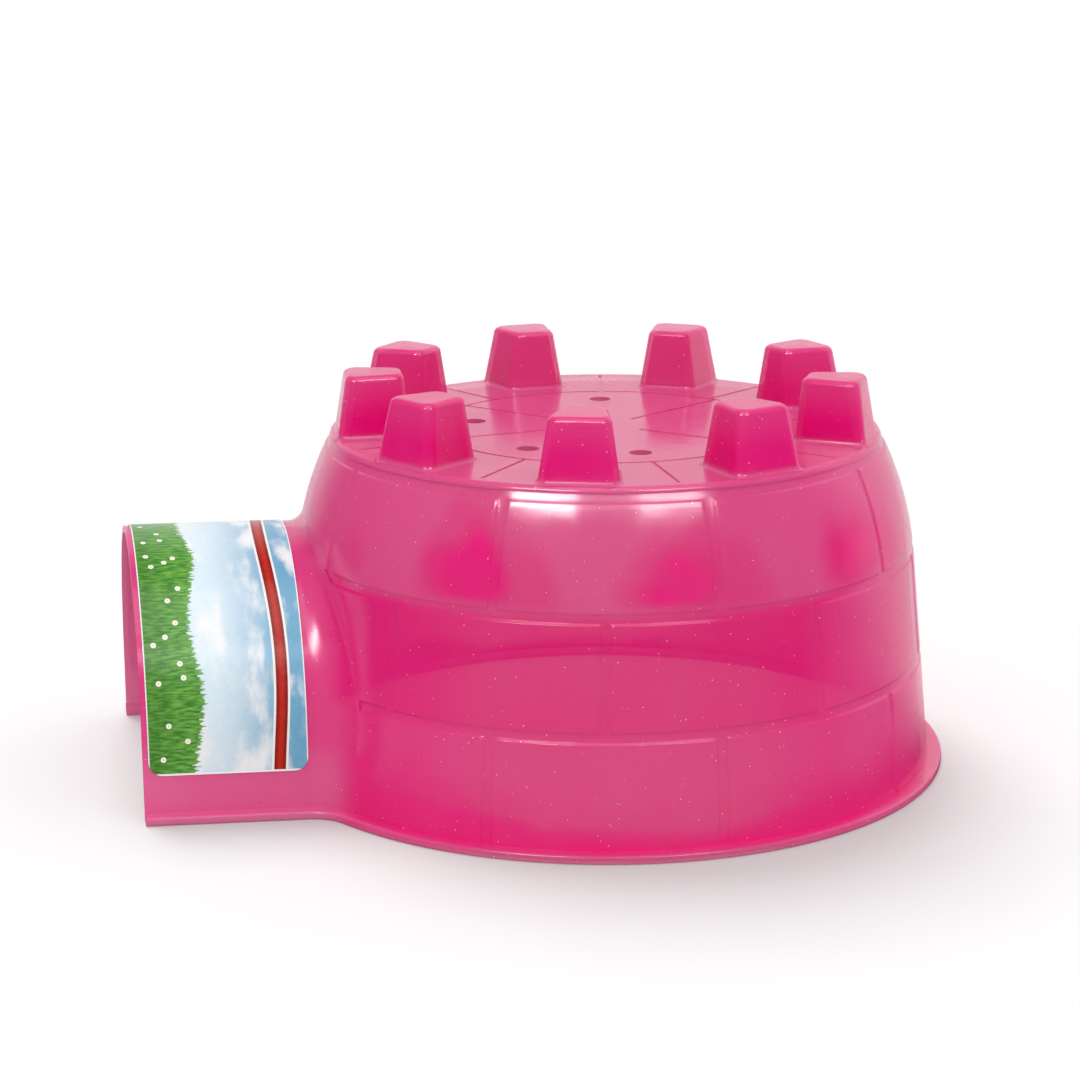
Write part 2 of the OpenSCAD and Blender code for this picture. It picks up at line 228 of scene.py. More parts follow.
def brick_wall(row_h=4.6, top_row_h=4.0, half_brick_steps=12):
    """The dome's outside as one closed body, its bricks raised over soft-edged joints."""
    heights = rows(-BURIED, LOWER_JOINT_H, row_h) + rows(LOWER_JOINT_H, UPPER_JOINT_H, row_h)[1:]
    heights += rows(UPPER_JOINT_H, BRICK_TOP_H, top_row_h)[1:] + [RIM_H]
    points = [(wall_radius(z) - JOINT_DEPTH, z) for z in heights]
    for k in range(7):
        a = math.radians(15 * k)
        points.append((DECK_DISC_R + RIM_ROUND_R * math.cos(a), RIM_H + RIM_ROUND_R * math.sin(a)))
    bm = bmesh.new()
    # Nine bricks' width in equal steps, then the narrow rest, which the tunnel hides
    half = BRICK_PITCH / 2
    spun(bm, points, -9 * half, [(18 * half, 18 * half_brick_steps), (360 - 18 * half, 5)])
    bmesh.ops.recalc_face_normals(bm, faces=bm.faces)
    ends = [k * BRICK_PITCH for k in range(-4, 5)]
    middles = [(k + 0.5) * BRICK_PITCH for k in range(-4, 4)]
    courses = (
        (-BURIED, LOWER_JOINT_H, ends),
        (LOWER_JOINT_H, UPPER_JOINT_H, middles),
        (UPPER_JOINT_H, BRICK_TOP_H, ends),
    )
    bricks = []
    for low, high, turns in courses:
        course = []
        for f in bm.faces:
            c = f.calc_center_median()
            if low < c.z < high:
                course.append((math.degrees(math.atan2(c.y, c.x)), f))
        sides = list(zip(turns, turns[1:])) + [(turns[-1], turns[0] + 360)]
        for a, b in sides:
            bricks.append([f for t, f in course if a < t < b or a < t + 360 < b])
    for faces in bricks:
        for width, rise in ((JOINT_W / 2 - BRICK_EDGE_IN, 0.0), *BRICK_EDGE):
            bmesh.ops.inset_region(
                bm, faces=faces, use_boundary=True, use_even_offset=True,
                thickness=width, depth=rise,
            )
    capped(bm, -BURIED)
    capped(bm, DECK_H)
    return finished("brick_wall", bm)


def dome_hollow(wall_top=122, corner_h=123.5, steps=160):
    """The space inside the dome, with a soft corner under the deck."""
    low, top = -BURIED - CUT_BELOW, DECK_H - DECK_T
    points = [(wall_radius(z) - WALL_T, z) for z in [low] + rows(0, wall_top, 6)]
    points += [(wall_radius(corner_h) - WALL_T - 0.6, top - 0.7), (DECK_DISC_R - 1.6, top)]
    bm = bmesh.new()
    spun(bm, points, 0, [(360, steps)])
    capped(bm, low)
    capped(bm, top)
    return finished("dome_hollow", bm)


def half_width(r, z):
    """Half the width at height z of the arch's leaning sides."""
    return r / math.cos(TUNNEL_LEAN) + (CROWN_Z - z) * math.tan(TUNNEL_LEAN)


def arch_bar(name, r, low, from_x, to_x, steps=72):
    """A bar with the tunnel's arched section."""
    bm = bmesh.new()
    span = math.pi - 2 * TUNNEL_LEAN
    start = bm.verts.new((from_x, r * math.cos(TUNNEL_LEAN), CROWN_Z + r * math.sin(TUNNEL_LEAN)))
    end = arc_end(bm, start, (from_x, 0, CROWN_Z), (1, 0, 0), span, steps)
    foot = half_width(r, low)
    near = bm.verts.new((from_x, -foot, low))
    far = bm.verts.new((from_x, foot, low))
    for pair in ((end, near), (near, far), (far, start)):
        bm.edges.new(pair)
    extruded(bm, (to_x - from_x, 0, 0))
    return finished(name, bm)


def blend_stations(crown_steps=60):
    """Points round the tunnel's outer section, each with its outward normal: (y, z, ny, nz)."""
    cos, sin = math.cos(TUNNEL_LEAN), math.sin(TUNNEL_LEAN)
    spring = CROWN_Z + CROWN_R * sin
    side = [(half_width(CROWN_R, z), z, cos, sin) for z in rows(-BURIED, spring, 4.0)[:-1]]
    crown = []
    for k in range(crown_steps + 1):
        a = TUNNEL_LEAN + (math.pi - 2 * TUNNEL_LEAN) * k / crown_steps
        ny, nz = math.cos(a), math.sin(a)
        crown.append((CROWN_R * ny, CROWN_Z + CROWN_R * nz, ny, nz))
    return side + crown + [(-y, z, -ny, nz) for y, z, ny, nz in reversed(side)]


def blend_section(y, z, ny, nz, steps=14, sink=0.03, in_tunnel=1.2, in_dome=1.4, past_arc=1.3):
    """An arc rolled between the tunnel's and the dome's outsides, then two points in the walls."""
    r = BLEND_SIDE_R + (BLEND_CROWN_R - BLEND_SIDE_R) * max(0.0, nz) ** 2
    d = r - sink
    cy, cz = y + d * ny, z + d * nz
    reach = wall_radius(cz, d)
    centre = Vector((-math.sqrt(reach ** 2 - cy ** 2), cy, cz))
    lean = WALL_LEAN
    if cz > SHOULDER_H + d * math.sin(WALL_LEAN):
        lean = math.atan2(cz - SHOULDER_CENTRE[1], reach - SHOULDER_CENTRE[0])
    u = Vector((0, -ny, -nz))
    v = -Vector((centre.x / reach * math.cos(lean), cy / reach * math.cos(lean), math.sin(lean)))
    turn = u.angle(v)
    arc = []
    for k in range(steps + 1):
        t = turn * k / steps
        arc.append(centre + r * (math.sin(turn - t) * u + math.sin(t) * v) / math.sin(turn))
    back_y, back_z = y - in_tunnel * ny, z - in_tunnel * nz
    back_x = -math.sqrt((wall_radius(back_z) - in_dome) ** 2 - back_y ** 2)
    return arc + [centre + (r + past_arc) * v, Vector((back_x, back_y, back_z))]


def tunnel_blend():
    """The soft corner between the tunnel and the dome, lofted through its sections."""
    bm = bmesh.new()
    rings = []
    for station in blend_stations():
        verts = [bm.verts.new(p) for p in blend_section(*station)]
        rings.append([bm.edges.new(pair) for pair in zip(verts, verts[1:] + verts[:1])])
    for near, far in zip(rings, rings[1:]):
        bmesh.ops.bridge_loops(bm, edges=near + far)
    bmesh.ops.contextual_create(bm, geom=rings[0])
    bmesh.ops.contextual_create(bm, geom=rings[-1])
    bmesh.ops.triangulate(bm, faces=bm.faces)
    return finished("tunnel_corner", bm)


def flange_plate(edge_r=0.9, round_steps=200, corner_steps=14):
    """The flange under the wall and along the tunnel, with soft outer edges."""
    bm = bmesh.new()
    edge = TUNNEL_HALF + FLANGE_W
    corner_r = BLEND_SIDE_R - FLANGE_W
    y = edge + corner_r
    x = -math.sqrt((FLANGE_R + corner_r) ** 2 - y * y)
    touch = math.atan2(y, x)
    start = bm.verts.new((FLANGE_R * math.cos(touch), FLANGE_R * math.sin(touch), 0))
    corner = math.pi / 2 - math.atan2(y, -x)
    up = (0, 0, 1)
    far = arc_end(bm, start, (x, y, 0), up, -corner, corner_steps)
    near = arc_end(bm, start, (0, 0, 0), up, -2 * touch, round_steps)
    near = arc_end(bm, near, (x, -y, 0), up, corner, corner_steps)
    ends = [bm.verts.new((-MOUTH_FAR_X - FLANGE_SPARE, side * edge, 0)) for side in (1, -1)]
    for pair in ((far, ends[0]), (ends[0], ends[1]), (ends[1], near)):
        bm.edges.new(pair)
    bmesh.ops.remove_doubles(bm, verts=bm.verts, dist=1e-4)
    extruded(bm, (0, 0, FLANGE_T))
    rim = [e for e in bm.edges if abs(e.verts[0].co.z - e.verts[1].co.z) < 1e-4]
    bmesh.ops.bevel(
        bm, geom=rim, affect="EDGES", offset=edge_r, segments=3, profile=0.5, material=-1,
    )
    return finished("flange_plate", bm)


def block_ring(bm, draft, inset, z, edge_r, steps=8):
    """One level outline of a block: its plan drawn in by a share of its drafts and by an inset."""
    out_x = BLOCK_OUT_R - draft * BLOCK_OUT_DRAFT - inset
    in_x = BLOCK_OUT_R - BLOCK_DEPTH + draft * BLOCK_IN_DRAFT + inset
    out_y = BLOCK_OUT_W / 2 - draft * BLOCK_SIDE_DRAFT - inset
    in_y = BLOCK_IN_W / 2 - draft * BLOCK_SIDE_DRAFT - inset
    side = math.atan2(out_y - in_y, out_x - in_x)
    corners = (
        (out_x - edge_r, edge_r - out_y, -math.pi / 2 - side, 0.0),
        (out_x - edge_r, out_y - edge_r, 0.0, math.pi / 2 + side),
        (in_x + edge_r, in_y - edge_r, math.pi / 2 + side, math.pi),
        (in_x + edge_r, edge_r - in_y, math.pi, 3 * math.pi / 2 - side),
    )
    verts = []
    for x, y, a, b in corners:
        for k in range(steps + 1):
            t = a + (b - a) * k / steps
            verts.append(bm.verts.new((x + edge_r * math.cos(t), y + edge_r * math.sin(t), z)))
    return [bm.edges.new(pair) for pair in zip(verts, verts[1:] + verts[:1])]


def block_body(name, turn, levels):
    """A block or its hollow, bridged through outlines of (draft, inset, height, edge radius)."""
    bm = bmesh.new()
    rings = [block_ring(bm, draft, inset, DECK_H + z, r) for draft, inset, z, r in levels]
    for low, high in zip(rings, rings[1:]):
        bmesh.ops.bridge_loops(bm, edges=low + high)
    bmesh.ops.contextual_create(bm, geom=rings[0])
    bmesh.ops.contextual_create(bm, geom=rings[-1])
    bmesh.ops.rotate(
        bm, verts=bm.verts, cent=(0, 0, 0), matrix=Matrix.Rotation(math.radians(turn), 3, "Z")
    )
    return finished(name, bm)


def block_levels(sunk=0.8, foot_steps=4, top_steps=5):
    """Outlines of a block's outside: its flared foot, its drafted sides and its rounded top."""
    r = BLOCK_FOOT_R
    levels = [(0, -r, -sunk, BLOCK_EDGE_R + r)]
    for k in range(foot_steps + 1):
        a = math.radians(90 * k / foot_steps)
        flare = r * (1 - math.sin(a))
        z = r * (1 - math.cos(a))
        levels.append((z / BLOCK_H, -flare, z, BLOCK_EDGE_R + flare))
    r = BLOCK_TOP_ROUND
    for k in range(top_steps + 1):
        a = math.radians(90 * k / top_steps)
        z = BLOCK_H - r + r * math.sin(a)
        inset = r * (1 - math.cos(a))
        levels.append((z / BLOCK_H, inset, z, BLOCK_EDGE_R - 0.4 * inset))
    return levels


def hollow_levels():
    """Outlines of the hollow in a block, open through the deck and soft-cornered at the top."""
    t, r = BLOCK_WALL_T, BLOCK_EDGE_R - BLOCK_WALL_T
    top = BLOCK_H - t
    return [
        (0, t, -DECK_T - 3, r), (0, t, 0, r), ((top - 1.2) / BLOCK_H, t, top - 1.2, r),
        ((top - 0.4) / BLOCK_H, t + 0.35, top - 0.4, r), (top / BLOCK_H, t + 1.2, top, r - 0.4),
    ]


def upright_cylinder(bm, x, y, low, high, r, steps=48):
    """Adds a closed cylinder that stands from low to high."""
    bmesh.ops.create_cone(
        bm, cap_ends=True, cap_tris=False, segments=steps, radius1=r, radius2=r, depth=high - low,
        matrix=Matrix.Translation((x, y, (low + high) / 2)),
    )


def box(bm, low, high, turn=0.0):
    """Adds a box between two corners, then turned about the dome's axis."""
    size = [b - a for a, b in zip(low, high)]
    middle = [(a + b) / 2 for a, b in zip(low, high)]
    bmesh.ops.create_cube(
        bm, size=1.0,
        matrix=Matrix.Rotation(math.radians(turn), 4, "Z")
        @ Matrix.Translation(middle)
        @ Matrix.Diagonal((*size, 1.0)),
    )


def vents(below=8, above=4):
    """The five vents, drilled from above the deck to below it."""
    bm = bmesh.new()
    for turn in VENT_TURNS:
        a = math.radians(turn)
        x, y = VENT_RING_R * math.cos(a), VENT_RING_R * math.sin(a)
        upright_cylinder(bm, x, y, DECK_H - below, DECK_H + above, VENT_D / 2)
    return finished("vents", bm)


def slab_joint(name, turn, from_r, to_r):
    """One straight joint in the deck, between two radii."""
    bm = bmesh.new()
    box(
        bm, (from_r, -SLAB_JOINT_W / 2, DECK_H - SLAB_JOINT_DEPTH),
        (to_r, SLAB_JOINT_W / 2, DECK_H + DECK_CUT_OVER), turn,
    )
    return finished(name, bm)


def slab_ring():
    """The ring joint as a closed square tube."""
    bm = bmesh.new()
    low, high = DECK_H - SLAB_JOINT_DEPTH, DECK_H + DECK_CUT_OVER
    inner, outer = SLAB_RING_R - SLAB_JOINT_W / 2, SLAB_RING_R + SLAB_JOINT_W / 2
    section = [(inner, low), (outer, low), (outer, high), (inner, high), (inner, low)]
    spun(bm, section, 0, [(360, 160)])
    return finished("slab_ring", bm)


def ground_cut(reach=400, depth=60):
    """A block that takes away everything below the ground."""
    bm = bmesh.new()
    box(bm, (-reach, -reach, -depth), (reach, reach, 0))
    return finished("ground_cut", bm)


def mouth_cut(reach=300, depth=100):
    """A block that takes away everything past the skewed mouth."""
    bm = bmesh.new()
    box(bm, (-reach, -reach, -depth), (0, reach, reach))
    bmesh.ops.rotate(bm, verts=bm.verts, cent=(0, 0, 0), matrix=Matrix.Rotation(MOUTH_SKEW, 3, "Z"))
    bmesh.ops.translate(bm, verts=bm.verts, vec=(-MOUTH_REACH, 0, 0))
    return finished("mouth_cut", bm)


def combined(target, operands, operation):
    """Joins bodies to a body or cuts them from it, and removes them from the scene."""
    group = bpy.data.collections.new(operation)
    for obj in operands:
        group.objects.link(obj)
    step = target.modifiers.new(operation, "BOOLEAN")
    step.operation = operation
    step.operand_type = "COLLECTION"
    step.collection = group
    step.solver = "EXACT"
    depsgraph = bpy.context.evaluated_depsgraph_get()
    mesh = bpy.data.meshes.new_from_object(target.evaluated_get(depsgraph))
    target.modifiers.clear()
    target.data = mesh
    for obj in operands:
        bpy.data.objects.remove(obj)
    bpy.data.collections.remove(group)


def smooth_shaded(obj, degrees=32):
    """Soft shading that stays level on the flat faces beside the rounded ones."""
    obj.data.shade_smooth()
    obj.data.set_sharp_from_angle(angle=math.radians(degrees))
    weighted = obj.modifiers.new("even_shading", "WEIGHTED_NORMAL")
    weighted.mode = "FACE_AREA"
    weighted.weight = 50
    weighted.keep_sharp = True


# The moulding: one closed thin-walled body

def make_moulding():
    """The whole hide: bodies joined to the brick wall, then the hollows and joints cut out."""
    shell = brick_wall()
    past = -MOUTH_FAR_X - TUNNEL_SPARE
    low = -BURIED - CUT_BELOW
    parts = [
        arch_bar("tunnel_bar", CROWN_R, -BURIED, past, TUNNEL_END_X),
        tunnel_blend(),
        flange_plate(),
    ]
    parts += [block_body("block", turn, block_levels()) for turn in ALL_BLOCK_TURNS]
    combined(shell, parts, "UNION")
    cuts = [
        dome_hollow(),
        arch_bar("tunnel_hollow", CROWN_R - WALL_T, low, past - CUT_PAST, TUNNEL_END_X + 5),
        vents(),
        slab_ring(),
        ground_cut(),
        mouth_cut(),
    ]
    cuts += [block_body("hollow", turn, hollow_levels()) for turn in ALL_BLOCK_TURNS]
    slab_end = DECK_DISC_R - WALL_T
    cuts += [slab_joint("slab_joint", a, SLAB_RING_R, slab_end) for a in ALL_SLAB_TURNS]
    cuts += [slab_joint("slab_joint", a, PLAIN_PATCH_R, SLAB_RING_R) for a in INNER_SLAB_TURNS]
    combined(shell, cuts, "DIFFERENCE")
    shell.name = shell.data.name = "moulding"
    return shell


moulding = make_moulding()
smooth_shaded(moulding)
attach(moulding, "root")
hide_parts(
    "dome_wall", "roof_deck", *BLOCK_NAMES,
    "entrance_tunnel", "tunnel_blend", "base_flange",
)


def make_label(end_x=-80, steps=120, corner_steps=8):
    """A thin sheet round the tunnel, cut to an outline with round lower corners."""
    back = CROWN_R + LABEL_GLUE_T
    past = -MOUTH_FAR_X - LABEL_SPARE
    sheet = arch_bar("label_front", back + LABEL_T, -BURIED, past, end_x, steps)
    hollow = arch_bar(
        "label_back", back, -BURIED - CUT_BELOW, past - CUT_PAST, end_x + 10, steps
    )
    combined(sheet, [hollow], "DIFFERENCE")
    bm = bmesh.new()
    r = LABEL_CORNER_R
    top = TUNNEL_H + 20
    low = LABEL_FOOT_H + r
    side = 100  # half the width of the prism that cuts the sheet, clear of the tunnel
    turn = math.pi / 2
    left = bm.verts.new((0, -side, low))
    left_end = arc_end(bm, left, (r, -side, low), (0, 1, 0), -turn, corner_steps)
    right = bm.verts.new((LABEL_LEN, -side, low))
    right_end = arc_end(bm, right, (LABEL_LEN - r, -side, low), (0, 1, 0), turn, corner_steps)
    ends = [bm.verts.new((x, -side, top)) for x in (0, LABEL_LEN)]
    for pair in ((left_end, right_end), (right, ends[1]), (ends[1], ends[0]), (ends[0], left)):
        bm.edges.new(pair)
    extruded(bm, (0, 2 * side, 0))
    bmesh.ops.translate(bm, verts=bm.verts, vec=(LABEL_INSET, 0, 0))
    bmesh.ops.rotate(bm, verts=bm.verts, cent=(0, 0, 0), matrix=Matrix.Rotation(MOUTH_SKEW, 3, "Z"))
    bmesh.ops.translate(bm, verts=bm.verts, vec=(-MOUTH_REACH, 0, 0))
    outline = finished("label_outline", bm)
    combined(sheet, [outline], "INTERSECT")
    sheet.name = sheet.data.name = "wrap_sheet"
    return sheet


label = make_label()
smooth_shaded(label)
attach(label, "root")
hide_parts("wrap_label")


# Materials

def metres(*lengths):
    """Lengths in millimetres as the metres that the nodes read."""
    return [length * MM for length in lengths]


class Recipe:
    """A material under construction, with short calls for the nodes that it uses."""

    def __init__(self, name):
        """A new material with its shader and the place on the object that it reads."""
        self.material = bpy.data.materials.new(name)
        self.material.use_nodes = True
        self.tree = self.material.node_tree
        self.shader = self.tree.nodes["Principled BSDF"]
        self.place = self.node("ShaderNodeTexCoord").outputs["Object"]

    def node(self, kind, **settings):
        """A new node with its settings."""
        node = self.tree.nodes.new(kind)
        for key, value in settings.items():
            setattr(node, key, value)
        return node

    def feed(self, socket, value):
        """Links a socket to another, or sets its value."""
        if isinstance(value, bpy.types.NodeSocket):
            self.tree.links.new(value, socket)
        else:
            socket.default_value = value

    def set(self, **values):
        """Feeds the shader's own sockets by name."""
        for key, value in values.items():
            self.feed(self.shader.inputs[key.replace("_", " ")], value)

    def math(self, operation, *values):
        """One step of arithmetic on sockets or numbers."""
        node = self.node("ShaderNodeMath", operation=operation)
        for socket, value in zip(node.inputs, values):
            self.feed(socket, value)
        return node.outputs[0]

    def axes(self):
        """The place on the object as x, y and z."""
        node = self.node("ShaderNodeSeparateXYZ")
        self.feed(node.inputs[0], self.place)
        return node.outputs

    def step(self, value, low, high, at_low=0.0, at_high=1.0):
        """A soft step that goes from one value to another between two bounds."""
        node = self.node("ShaderNodeMapRange", interpolation_type="SMOOTHSTEP")
        for socket, item in zip(node.inputs, (value, low, high, at_low, at_high)):
            self.feed(socket, item)
        return node.outputs[0]

    def window(self, value, low, high, soft):
        """One between two bounds and nothing outside them."""
        rise = self.step(value, low - soft, low + soft)
        fall = self.step(value, high - soft, high + soft, 1.0, 0.0)
        return self.math("MULTIPLY", rise, fall)

    def squares(self, a, b):
        """The sum of two squares."""
        return self.math("ADD", self.math("MULTIPLY", a, a), self.math("MULTIPLY", b, b))

    def largest(self, *values):
        """The largest of several values."""
        result = values[0]
        for value in values[1:]:
            result = self.math("MAXIMUM", result, value)
        return result

    def product(self, *values):
        """Several values multiplied together."""
        result = values[0]
        for value in values[1:]:
            result = self.math("MULTIPLY", result, value)
        return result

    def spot(self, u, at_u, half_u, v, at_v, half_v, uneven):
        """A soft patch with an uneven edge, round a point given in two coordinates."""
        du = self.math("DIVIDE", self.math("SUBTRACT", u, at_u), half_u)
        dv = self.math("DIVIDE", self.math("SUBTRACT", v, at_v), half_v)
        away = self.squares(du, dv)
        away = self.math("ADD", away, self.math("MULTIPLY", uneven, 2.6))
        return self.step(away, -0.1, 1.2, 1.0, 0.0)

    def mix(self, factor, a, b):
        """Goes from colour a to colour b."""
        node = self.node("ShaderNodeMix", data_type="RGBA")
        self.feed(node.inputs[0], factor)
        self.feed(node.inputs[6], a)
        self.feed(node.inputs[7], b)
        return node.outputs[2]

    def noise(self, scale, detail=2.0, vector=None):
        """Soft random clouds from nought to one."""
        node = self.node("ShaderNodeTexNoise")
        self.feed(node.inputs["Vector"], vector or self.place)
        node.inputs["Scale"].default_value = scale
        node.inputs["Detail"].default_value = detail
        return node.outputs["Fac"]

    def bump(self, height, strength, distance):
        """Gives the surface a fine unevenness."""
        node = self.node("ShaderNodeBump")
        node.inputs["Strength"].default_value = strength
        node.inputs["Distance"].default_value = distance
        self.feed(node.inputs["Height"], height)
        self.feed(self.shader.inputs["Normal"], node.outputs[0])

    def cells(self, size, vector=None, dimensions="3D"):
        """Scattered points: distance in cells to the nearest, its random colour, its place."""
        node = self.node("ShaderNodeTexVoronoi", voronoi_dimensions=dimensions)
        self.feed(node.inputs["Vector"], vector or self.place)
        node.inputs["Scale"].default_value = 1 / size
        return node.outputs["Distance"], node.outputs["Color"], node.outputs["Position"]


# Pinks of the plastic: the pale ones hold painted light over the deep pink, and the brighter ones
# low on the wall are painted light, as if the ground lit it
DEEP_PINK = (0.88, 0.001, 0.205, 1)
PALE_PINK = (0.84, 0.083, 0.290, 1)
GROUND_LIT_DEEP_PINK = (0.99, 0.001, 0.235, 1)
GROUND_LIT_PALE_PINK = (0.95, 0.090, 0.325, 1)
# Painted light: a paler pink for the tunnel's foot and inside
LIGHT_PAINTED_PINK = (0.93, 0.165, 0.390, 1)
GROUND_LIT_TOP_H = 0.095

# Glitter
GRAIN_PITCH = 0.0026
DARK_GRAIN = (0.36, 0.001, 0.06, 1)
ROSE_GRAIN = (0.84, 0.20, 0.36, 1)
SILVER_GRAIN = (0.98, 0.72, 0.82, 1)

# Painted shade beside the upright joints: turn from the joint, half width in radians, height, half
# height
LEFT_JOINT_SHADE = (-0.130, 0.190, 0.096, 0.024)
RIGHT_JOINT_SHADE = (0.085, 0.120, 0.093, 0.019)
RIGHT_JOINT_SHADE_DEPTH = 0.6

# How much of the wall's own colour covers what is seen through it
WALL_COVER = 0.72
FRONT_COVER = 0.58
DECK_COVER = 0.72
DEEP_COVER = 0.76
JOINT_SHADE_COVER = 0.86
BORE_COVER = 0.90


def painted_joint_shade(r, turn, z):
    """Painted shade: deep patches low in the top course, on both sides of each upright joint."""
    pitch = math.radians(BRICK_PITCH)
    joint = r.math("WRAP", turn, pitch / 2, -pitch / 2)
    blurred = r.math("SUBTRACT", r.noise(24, 2.0), 0.5)
    left = r.spot(joint, *LEFT_JOINT_SHADE[:2], z, *LEFT_JOINT_SHADE[2:], blurred)
    right = r.spot(joint, *RIGHT_JOINT_SHADE[:2], z, *RIGHT_JOINT_SHADE[2:], blurred)
    joint_shade = r.largest(left, r.math("MULTIPLY", right, RIGHT_JOINT_SHADE_DEPTH))
    in_course = r.step(z, *metres(UPPER_JOINT_H - 1, UPPER_JOINT_H + 6))
    return r.product(joint_shade, in_course, r.step(r.noise(15, 1.0), 0.35, 0.60, 0.8, 1.0))


def tunnel_girth(r, y, z):
    """Distance from the tunnel's axis, evened out along its leaning sides."""
    lift = r.largest(r.math("SUBTRACT", z, CROWN_Z * MM), 0.0)
    drop = r.largest(r.math("SUBTRACT", CROWN_Z * MM, z), 0.0)
    girth = r.math("SQRT", r.squares(y, lift))
    return r.math("SUBTRACT", girth, r.math("MULTIPLY", drop, math.tan(TUNNEL_LEAN)))


def painted_foot_shade(r, across, y, z, girth):
    """Painted shade: the deep foot of the dome's wall, higher beside the tunnel's side and the far
    right.
    """
    uneven = r.math("SUBTRACT", r.noise(42, 3.0), 0.5)
    low = r.math("ADD", z, r.math("MULTIPLY", uneven, 0.014))
    low = r.math("SUBTRACT", low, r.step(across, -0.095, -0.020, 0.010, 0.0))
    low = r.math("SUBTRACT", low, r.step(across, 0.020, 0.080, 0.0, 0.006))
    foot = r.step(low, 0.003, 0.025, 1.0, 0.0)
    from_axis = r.math("SQRT", r.squares(across, y))
    off_flange = r.step(from_axis, *metres(WALL_FOOT_R + 0.9, FLANGE_R), 1.0, 0.0)
    off_tunnel = r.largest(r.step(girth, 0.064, 0.072), r.step(across, -0.100, -0.085))
    return r.product(foot, off_flange, off_tunnel)


def deep_corner(r, across, z, girth):
    """The deep band round the soft corner between the tunnel and the dome."""
    band = r.window(girth, 0.0665, 0.0805, 0.004)
    in_dome = r.step(across, -0.116, -0.104)
    near_tunnel = r.step(across, -0.060, -0.030, 1.0, 0.0)
    return r.product(band, in_dome, near_tunnel, r.step(z, 0.080, 0.105, 1.0, 0.0))


def painted_light_veil(r, across, y, z, out_of_dome, deep, block):
    """Painted light: where the pink is painted paler, as if more lit: all but the deep parts and the
    middle of the mid course.
    """
    mid_course = r.step(across, 0.050, 0.085, 0.0, 0.72)
    low_course = r.step(z, *metres(LOWER_JOINT_H - 4.5, LOWER_JOINT_H + 3.5), 0.42, 0.0)
    top_course = r.step(z, *metres(UPPER_JOINT_H - 3, UPPER_JOINT_H + 4))
    light_veil = r.largest(mid_course, low_course, top_course)
    # Painted light: the tunnel paler, most of all at its foot
    tunnel = r.product(out_of_dome, r.step(z, 0.014, 0.030, 1.0, 0.55))
    light_veil = r.product(r.largest(light_veil, tunnel), r.math("SUBTRACT", 1.0, deep))
    # Painted light: the blocks' tops and the back blocks paler
    block_tops = r.step(z, *metres(DECK_H + 6.5, DECK_H + 22.5), 0.0, 0.45)
    back_blocks = r.product(block, r.step(y, 0.020, 0.060, 0.0, 0.55))
    light_veil = r.largest(light_veil, block_tops, back_blocks)
    return r.product(light_veil, r.step(r.noise(26), 0.3, 0.7, 0.86, 1.0))


def glitter(r):
    """Pale grains and a few dark ones: where they lie and their colour."""
    distance, chance, _ = r.cells(GRAIN_PITCH)
    grain = r.step(distance, 0.055, 0.085, 1.0, 0.0)
    pick = r.node("ShaderNodeSeparateColor")
    r.feed(pick.inputs[0], chance)
    light = r.mix(r.step(pick.outputs[1], 0.2, 0.9), ROSE_GRAIN, SILVER_GRAIN)
    tone = r.mix(r.step(pick.outputs[0], 0.10, 0.14), DARK_GRAIN, light)
    return r.product(grain, r.step(pick.outputs[2], 0.25, 0.30)), tone


